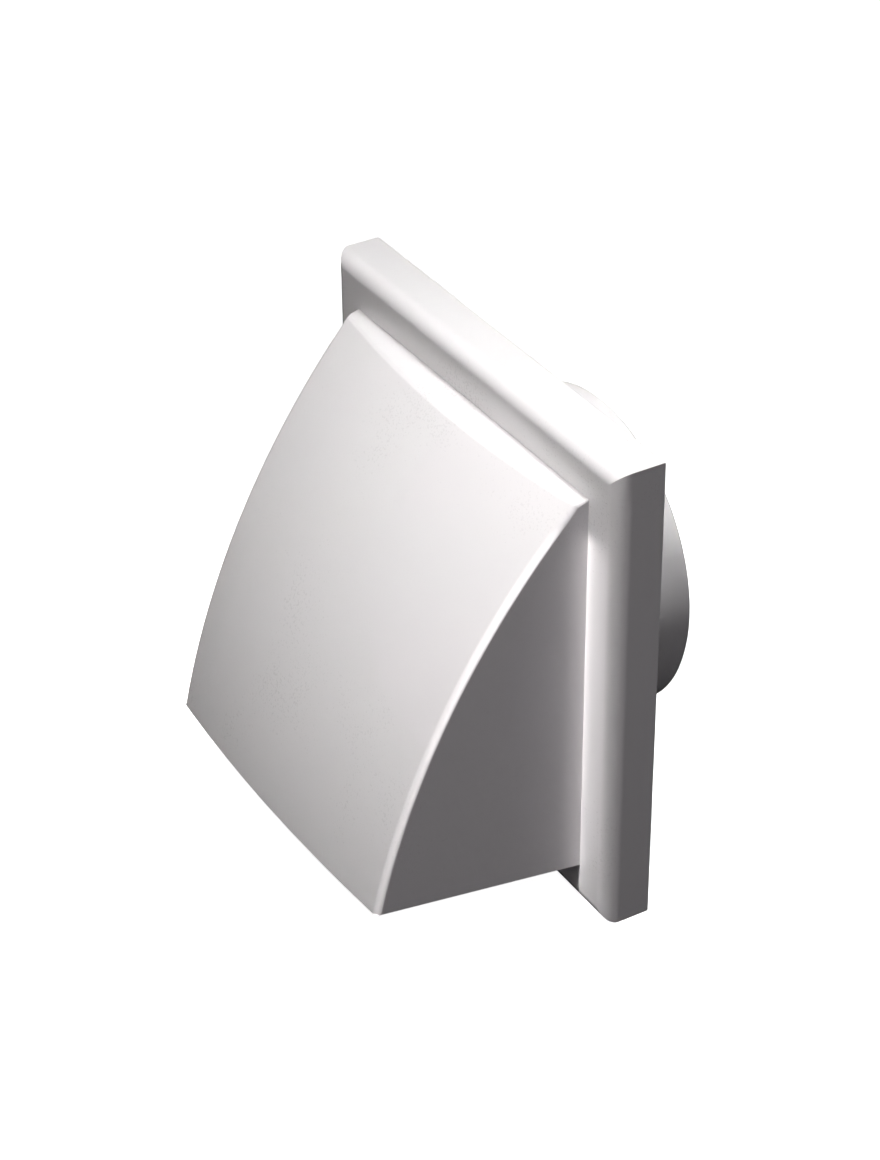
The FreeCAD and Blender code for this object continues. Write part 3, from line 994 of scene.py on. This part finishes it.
@dataclass
class SpigotBase(Moulding):
    """The plate behind the cover, its spigot and all that is moulded on them. Lengths are in millimetres."""

    node: ClassVar[str] = "spigot_base"
    body: ClassVar[str] = "housing"
    material_slot: ClassVar[str] = "base_plastic"
    finish: ClassVar[MouldedPlastic] = SATIN_WHITE

    half_plate: float
    spigot_back: float
    base_wall: float = 2.0
    spigot_radius: float = 50.0
    spigot_wall: float = 2.0
    spigot_lead: float = 0.8
    spigot_sides: int = 160
    seat_height: float = 5.0
    half_screw: float = 62.0
    screw_radius: float = 2.25
    head_radius: float = 4.2
    pad_radius: float = 6.0
    pad_height: float = 2.5
    half_hook: float = 42.0
    hook_width: float = 10.0
    hook_wall: float = 1.5
    hook_barb: float = 1.2
    hook_nose: float = 3.2
    hook_back: float = 6.1
    hook_outer: float = 73.7
    hook_gap: float = 0.3
    hinge_height: float = 53.4
    hinge_setback: float = 6.0
    hinge_radius: float = 1.25
    ear_inner: float = 33.8
    ear_wall: float = 2.4
    ear_edge: float = 2.4
    moulding_soft: float = 0.3

    def build(self) -> bpy.types.Object:
        """Models the spigot base.

        Returns:
            The finished mesh object, in metres.
        """
        bury = self.base_wall / 2
        piece = Workpiece.block("spigot_base_shell", (-self.half_plate, -self.base_wall, -self.half_plate),
                                (self.half_plate, 0, self.half_plate)).soften(self.moulding_soft)
        hole = Workpiece.rod("spigot_hole", (0, -self.base_wall - bury, 0), (0, bury, 0),
                             self.spigot_radius - self.spigot_wall / 2, self.spigot_sides)
        piece.work_in(hole, Joining.CUT)
        piece.work_in(self.spigot(), Joining.UNITE)
        for part in self.ear(bury).pair() + self.screw_pad(bury).quarters() + self.hook(bury).quarters():
            piece.work_in(part, Joining.UNITE)
        for drill in self.screw_drill().quarters():
            piece.work_in(drill, Joining.CUT)
        piece.shade(sharp_above=40.0)
        return piece.to_metres()

    def spigot(self) -> Workpiece:
        """The round tube, from the flap's seat to the chamfered free end.

        Returns:
            The tube.
        """
        front = -(self.base_wall + self.seat_height)
        spare = 1.0
        tube = Workpiece.rod("spigot", (0, front, 0), (0, self.spigot_back - self.spigot_lead, 0),
                             self.spigot_radius, self.spigot_sides)
        with tube.editing() as edit:
            edit.select(Kind.FACES, lambda face: middle(face).y > self.spigot_back - self.spigot_lead - NEAR)
            bpy.ops.mesh.extrude_region_move(TRANSFORM_OT_translate={"value": (0, self.spigot_lead, 0)})
            lead = 1 - self.spigot_lead / self.spigot_radius
            edit.stretch((lead, 1, lead), (0, 0, 0))
        bore = Workpiece.rod("bore", (0, front - spare, 0), (0, self.spigot_back + spare, 0),
                             self.spigot_radius - self.spigot_wall, self.spigot_sides)
        tube.work_in(bore, Joining.CUT)
        with tube.editing() as edit:
            edit.select(Kind.EDGES, lambda edge: any(all(abs(vert.co.y - end) < NEAR for vert in edge.verts)
                                                     for end in (front, self.spigot_back)))
            bpy.ops.mesh.bevel(offset=self.moulding_soft / 2, segments=2, affect="EDGES")
        return tube

    def screw_pad(self, bury: float) -> Workpiece:
        """The pad round the screw hole at the top right.

        Args:
            bury: How deep the pad's root is in the plate.

        Returns:
            The pad, not yet drilled.
        """
        top = -(self.base_wall + self.pad_height)
        pad = Workpiece.rod("screw_pad", (self.half_screw, top, self.half_screw),
                            (self.half_screw, -bury, self.half_screw), self.pad_radius)
        return pad.soften(self.moulding_soft)

    def screw_drill(self) -> Workpiece:
        """What is cut away for the screw at the top right, its hole and its countersink.

        Returns:
            The drill.
        """
        root = -(self.base_wall + self.pad_height) + self.head_radius - self.screw_radius
        spare = 0.5
        at = self.half_screw
        drill = Workpiece.rod("screw_drill", (at, root, at), (at, spare, at), self.screw_radius)
        with drill.editing() as edit:
            edit.select(Kind.FACES, lambda face: middle(face).y < root + NEAR)
            depth = self.head_radius - self.screw_radius + spare
            bpy.ops.mesh.extrude_region_move(TRANSFORM_OT_translate={"value": (0, -depth, 0)})
            wider = (self.head_radius + spare) / self.screw_radius
            edit.stretch((wider, 1, wider), (at, root - depth, at))
        return drill

    def ear(self, bury: float) -> Workpiece:
        """The right hinge ear with the hole for the flap's pin.

        Args:
            bury: How deep the ear's root is in the plate.

        Returns:
            The ear.
        """
        half = self.hinge_radius + self.ear_edge
        outer = self.ear_inner + self.ear_wall
        spare = 1.0
        ear = Workpiece.block("hinge_ear",
                              (self.ear_inner, -(self.hinge_setback + half), self.hinge_height - half),
                              (outer, -bury, self.hinge_height + half)).soften(self.moulding_soft)
        drill = Workpiece.rod("pin_hole", (self.ear_inner - spare, -self.hinge_setback, self.hinge_height),
                              (outer + spare, -self.hinge_setback, self.hinge_height), self.hinge_radius)
        return ear.work_in(drill, Joining.CUT)

    def hook(self, bury: float) -> Workpiece:
        """The snap hook at the top right, extruded from its outline in side view.

        Args:
            bury: How deep its root is in the plate.

        Returns:
            The hook.
        """
        inner = self.hook_outer - self.hook_wall
        tip = self.hook_back + self.hook_nose
        barb = self.hook_outer + self.hook_barb
        outline = [(-bury, inner), (-tip, inner), (-tip, inner + self.hook_wall / 2),
                   (-self.hook_back - self.hook_gap, barb), (-self.hook_back, barb),
                   (-self.hook_back, self.hook_outer), (-bury, self.hook_outer)]
        left = self.half_hook - self.hook_width / 2
        corners = [Vector((left, y, z)) for y, z in outline]
        hook = Workpiece.spot("snap_hook", corners[0])
        with hook.editing() as edit:
            for start, end in zip(corners, corners[1:]):
                bpy.ops.mesh.extrude_vertices_move(TRANSFORM_OT_translate={"value": end - start})
            edit.take_all()
            bpy.ops.mesh.edge_face_add()
            bpy.ops.mesh.extrude_region_move(TRANSFORM_OT_translate={"value": (self.hook_width, 0, 0)})
            edit.face_out()
        return hook.soften(self.hook_gap / 2, 1)


@dataclass
class BackdraftFlap(Moulding):
    """The hanging flap with its bead, lugs and pins. Lengths are in millimetres."""

    node: ClassVar[str] = "backdraft_flap"
    body: ClassVar[str] = "flap"
    material_slot: ClassVar[str] = "flap_plastic"
    finish: ClassVar[MouldedPlastic] = MATT_WHITE

    back: float = 7.3
    thickness: float = 1.2
    radius: float = 49.9
    arc_strips: int = 132
    half_brow: float = 33.5
    brow_rise: float = 1.6
    bead_radius: float = 47.5
    bead_width: float = 1.6
    bead_height: float = 0.9
    hinge_height: float = 53.4
    hinge_setback: float = 6.0
    pin_radius: float = 1.2
    pin_reach: float = 36.2
    lug_edge: float = 0.7
    lug_width: float = 3.0
    moulding_soft: float = 0.25

    def build(self) -> bpy.types.Object:
        """Models the flap.

        Returns:
            The finished mesh object, in metres.
        """
        piece = self.blade()
        piece.work_in(self.bead(), Joining.UNITE)
        for lug in self.lug().pair():
            piece.work_in(lug, Joining.UNITE)
        piece.shade(sharp_above=40.0)
        return piece.to_metres()

    def blade(self) -> Workpiece:
        """The thin disc with its straight brow.

        Returns:
            The blade.
        """
        shoulder = math.sqrt(self.radius ** 2 - self.half_brow ** 2)
        top = self.hinge_height + self.brow_rise
        lean = math.atan2(self.half_brow, shoulder)
        blade = Workpiece.spot("backdraft_flap_shell", Vector((self.half_brow, -self.back, shoulder)))
        with blade.editing() as edit:
            edit.spin(self.arc_strips, 2 * (math.pi - lean), Vector((0, -self.back, 0)), (0, 1, 0))
            for side in Side:
                edit.select(Kind.VERTS, lambda vert: abs(vert.co.x - side.value * self.half_brow) < NEAR
                            and vert.co.z > 0)
                bpy.ops.mesh.extrude_vertices_move(TRANSFORM_OT_translate={"value": (0, 0, top - shoulder)})
            edit.weld()
            bpy.ops.mesh.edge_face_add()
            bpy.ops.mesh.extrude_region_move(TRANSFORM_OT_translate={"value": (0, -self.thickness, 0)})
            edit.face_out()
        return blade.soften(self.moulding_soft, above=80.0)

    def bead(self) -> Workpiece:
        """The stiffening ring on the blade's front.

        Returns:
            The ring.
        """
        front = self.back + self.thickness
        bury = self.thickness / 2
        inner = self.bead_radius - self.bead_width
        ring = Workpiece.rod("bead", (0, -front - self.bead_height, 0), (0, bury - front, 0),
                             self.bead_radius, self.arc_strips)
        hollow = Workpiece.rod("bead_hollow", (0, -front - self.bead_height * 2, 0), (0, 0, 0), inner,
                               self.arc_strips)
        ring.work_in(hollow, Joining.CUT)
        return ring.soften(self.moulding_soft)

    def lug(self) -> Workpiece:
        """The right lug with its knuckle and its pin.

        Returns:
            The lug.
        """
        radius = self.pin_radius + self.lug_edge
        outer = self.half_brow
        inner = outer - self.lug_width
        y, z = -self.hinge_setback, self.hinge_height
        shy = 0.02
        bury = 0.3
        lug = Workpiece.block("lug", (inner + shy, -(self.back + self.thickness / 2), z - radius + shy),
                              (outer - shy, y, z + radius - shy))
        lug.work_in(Workpiece.rod("knuckle", (inner, y, z), (outer, y, z), radius), Joining.UNITE)
        pin = Workpiece.rod("pin", (inner + bury, y, z), (self.pin_reach, y, z), self.pin_radius)
        return lug.work_in(pin, Joining.UNITE)


@dataclass(frozen=True, kw_only=True)
class Lamp:
    """A lamp that looks at a point. Lengths are in metres, turns in degrees and power in watts.

    The azimuth counts from the front towards the right and the elevation from the horizon.
    """

    name: str
    azimuth: float
    elevation: float
    distance: float
    power: float
    target: Point = (0.0, -0.03, 0.0)
    colour: Colour = (1.0, 1.0, 1.0)

    def hang(self) -> None:
        """Puts the lamp in its place."""
        raise NotImplementedError

    def put_up(self, kind: str) -> bpy.types.Object:
        """Adds a lamp that the camera can't see, turned to its target.

        Args:
            kind: Blender's name for the kind of lamp.

        Returns:
            The lamp.
        """
        around, up = math.radians(self.azimuth), math.radians(self.elevation)
        sight = Vector((math.sin(around) * math.cos(up), -math.cos(around) * math.cos(up), math.sin(up)))
        bpy.ops.object.light_add(type=kind, location=Vector(self.target) + sight * self.distance)
        lamp = bpy.context.object
        lamp.name = self.name
        lamp.rotation_euler = sight.to_track_quat("Z", "Y").to_euler()
        lamp.data.energy = self.power
        lamp.data.color = self.colour
        lamp.visible_camera = False
        return lamp


@dataclass(frozen=True, kw_only=True)
class Softbox(Lamp):
    """A lamp with a wide soft face."""

    width: float
    height: float
    round_face: bool = True
    spread: float = 180.0

    def hang(self) -> None:
        """Puts the softbox in its place."""
        lamp = self.put_up("AREA")
        lamp.data.shape = "ELLIPSE" if self.round_face else "RECTANGLE"
        lamp.data.size = self.width
        lamp.data.size_y = self.height
        lamp.data.spread = math.radians(self.spread)


@dataclass(frozen=True, kw_only=True)
class SlitLamp(Lamp):
    """A small spot lamp behind a slit, for a narrow upright band of light.

    The slit's steps give the light's level at each place on the target, across to the right and up from its
    middle.
    """

    radius: float
    across: tuple[tuple[float, float], ...]
    upward: tuple[tuple[float, float], ...]
    cone: float = 30.0

    def hang(self) -> None:
        """Puts the lamp in its place, with its slit."""
        lamp = self.put_up("SPOT")
        lamp.data.spot_size = math.radians(self.cone)
        lamp.data.spot_blend = 0.0
        lamp.data.shadow_soft_size = self.radius
        lamp.visible_glossy = False
        lamp.data.use_nodes = True
        nodes, links = lamp.data.node_tree.nodes, lamp.data.node_tree.links
        ray = nodes.new("ShaderNodeTexCoord")
        split = nodes.new("ShaderNodeSeparateXYZ")
        links.new(ray.outputs["Normal"], split.inputs["Vector"])
        level = nodes.new("ShaderNodeMath")
        level.operation = "MULTIPLY"
        for socket, (axis, steps) in enumerate((("X", self.across), ("Y", self.upward))):
            slope = nodes.new("ShaderNodeMath")
            slope.operation = "DIVIDE"
            links.new(split.outputs[axis], slope.inputs[0])
            links.new(split.outputs["Z"], slope.inputs[1])
            links.new(self.slit(nodes, links, slope, steps).outputs["Color"], level.inputs[socket])
        links.new(level.outputs["Value"], nodes["Emission"].inputs["Strength"])

    def slit(self, nodes: bpy.types.Nodes, links: bpy.types.NodeLinks, slope: bpy.types.Node,
             steps: Sequence[tuple[float, float]]) -> bpy.types.Node:
        """One direction of the slit, as a ramp from its first step to its last.

        Args:
            nodes: The lamp's nodes.
            links: The lamp's links.
            slope: The node that gives how far a ray leans, counted away from the step's direction.
            steps: The places on the target and the level of light at each.

        Returns:
            The ramp node.
        """
        first, last = steps[0][0], steps[-1][0]
        spread = nodes.new("ShaderNodeMapRange")
        spread.inputs["From Min"].default_value = -first / self.distance
        spread.inputs["From Max"].default_value = -last / self.distance
        links.new(slope.outputs["Value"], spread.inputs["Value"])
        ramp = nodes.new("ShaderNodeValToRGB")
        ramp.color_ramp.interpolation = "EASE"
        while len(ramp.color_ramp.elements) < len(steps):
            ramp.color_ramp.elements.new(0.5)
        for element, (place, level) in zip(ramp.color_ramp.elements, steps):
            element.position = (place - first) / (last - first)
            element.color = (level, level, level, 1)
        links.new(spread.outputs["Result"], ramp.inputs["Fac"])
        return ramp


WARM_WHITE = (1.0, 0.968, 0.962)
COOL_WHITE = (0.985, 0.94, 1.02)
HOOD_CORNER = (0.055, -0.03, 0.05)
ALONG_SIDE = -2.636
HOOD_WALL_MIDDLE = (0.0629, -0.0213, -0.0129)

LAMPS = (
    Softbox(name="overhead_softbox", azimuth=190, elevation=72, distance=1.5, width=0.7, height=0.7,
            power=3.0),
    Softbox(name="front_fill", azimuth=0, elevation=20, distance=1.5, width=0.65, height=0.65, power=3.2,
            colour=WARM_WHITE),
    Softbox(name="key_front", azimuth=12, elevation=62, distance=1.5, width=0.3, height=0.3, power=0.246,
            target=HOOD_CORNER, spread=20.0, colour=WARM_WHITE),
    Softbox(name="key_top", azimuth=180, elevation=84, distance=1.5, width=0.3, height=0.3, power=0.31,
            target=HOOD_CORNER, spread=20.0),
    Softbox(name="back_fill", azimuth=180, elevation=12, distance=1.5, width=0.8, height=0.5, power=4.5),
    Softbox(name="left_fill", azimuth=-100, elevation=10, distance=1.5, width=0.8, height=0.5, power=2.2),
    Softbox(name="side_fill", azimuth=60, elevation=3.6, distance=0.802, width=0.5, height=0.24, power=0.6,
            target=(0.0, 0.0, 0.0), round_face=False, colour=COOL_WHITE),
    SlitLamp(name="hood_edge_slit", azimuth=ALONG_SIDE, elevation=25, distance=0.8, target=HOOD_WALL_MIDDLE,
             power=30.0, radius=0.0008, colour=WARM_WHITE,
             across=((-0.0015, 0.0), (-0.0004, 1.0), (0.0003, 1.0), (0.0028, 0.57), (0.0056, 0.38),
                     (0.0090, 0.29), (0.0118, 0.0)),
             upward=((-0.0740, 0.0), (-0.0680, 0.5), (-0.0370, 0.7), (-0.0050, 0.87), (0.0310, 0.98),
                     (0.0600, 1.0), (0.0650, 0.0))),
)


@dataclass
class Studio:
    """The floor, the lights and the camera.

    Lengths are in metres, turns in degrees, and the lens and its sensor in millimetres.
    """

    lens: float = 92.73
    sensor: float = 36.0
    camera_place: Point = (0.63098, -0.39654, 0.49001)
    camera_target: Point = (-0.016168, -0.0153, -0.007984)
    camera_roll: float = -0.446922
    floor_size: float = 12.0
    floor_colour: Colour = (0.92, 0.92, 0.92)
    floor_roughness: float = 0.8
    floor_glow: float = 0.965
    lamps: tuple[Lamp, ...] = LAMPS

    def build(self) -> None:
        """Sets up the whole studio."""
        self.place_camera()
        self.lay_floor()
        self.fill_air()
        for lamp in self.lamps:
            lamp.hang()

    def place_camera(self) -> None:
        """Puts the camera at the photograph's viewing angle."""
        bpy.ops.object.camera_add(location=self.camera_place)
        camera = bpy.context.object
        camera.name = "camera"
        camera.data.lens = self.lens
        camera.data.sensor_width = self.sensor
        sight = Vector(self.camera_target) - Vector(self.camera_place)
        turn = sight.to_track_quat("-Z", "Y").to_matrix().to_4x4()
        roll = Matrix.Rotation(math.radians(self.camera_roll), 4, "Z")
        camera.matrix_world = Matrix.Translation(self.camera_place) @ turn @ roll
        bpy.context.scene.camera = camera

    def lay_floor(self) -> None:
        """Lays the plain pale floor, lit from below, just under the part."""
        bpy.ops.mesh.primitive_plane_add(size=self.floor_size, location=(0, 0, CAD_BOUNDS[0][2]))
        floor = bpy.context.object
        floor.name = "floor"
        apply_placing()
        paint = bpy.data.materials.new("pale_floor")
        paint.use_nodes = True
        shader = paint.node_tree.nodes["Principled BSDF"]
        shader.inputs["Base Color"].default_value = (*self.floor_colour, 1)
        shader.inputs["Roughness"].default_value = self.floor_roughness
        shader.inputs["Emission Color"].default_value = (1, 1, 1, 1)
        shader.inputs["Emission Strength"].default_value = self.floor_glow
        paint.cycles.emission_sampling = "NONE"
        floor.data.materials.append(paint)
        floor.visible_diffuse = False
        floor.visible_glossy = False

    def fill_air(self) -> None:
        """Makes the background white without letting it light the part."""
        bpy.context.scene.view_settings.view_transform = "Standard"
        world = bpy.data.worlds.new("studio_air")
        bpy.context.scene.world = world
        world.use_nodes = True
        world.node_tree.nodes["Background"].inputs["Color"].default_value = (1, 1, 1, 1)
        for ray in ("diffuse", "glossy", "transmission", "scatter"):
            setattr(world.cycles_visibility, ray, False)


def main() -> None:
    """Builds and dresses the pieces, then the studio."""
    logging.basicConfig(level=logging.INFO, format="%(name)s: %(message)s")
    cover_low, cover_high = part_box("cover")
    base_low, base_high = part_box("spigot_base")
    mouldings = (
        HoodedCover(half_face=(cover_high.x - cover_low.x) / 2 / METRES),
        SpigotBase(half_plate=(base_high.x - base_low.x) / 2 / METRES, spigot_back=base_high.y / METRES),
        BackdraftFlap(),
    )
    for moulding in mouldings:
        piece = moulding.dress()
        LOG.info("%s: %d faces, finish %s", piece.name, len(piece.data.polygons), moulding.finish.name)
    Studio().build()


if __name__ == "__main__":
    main()
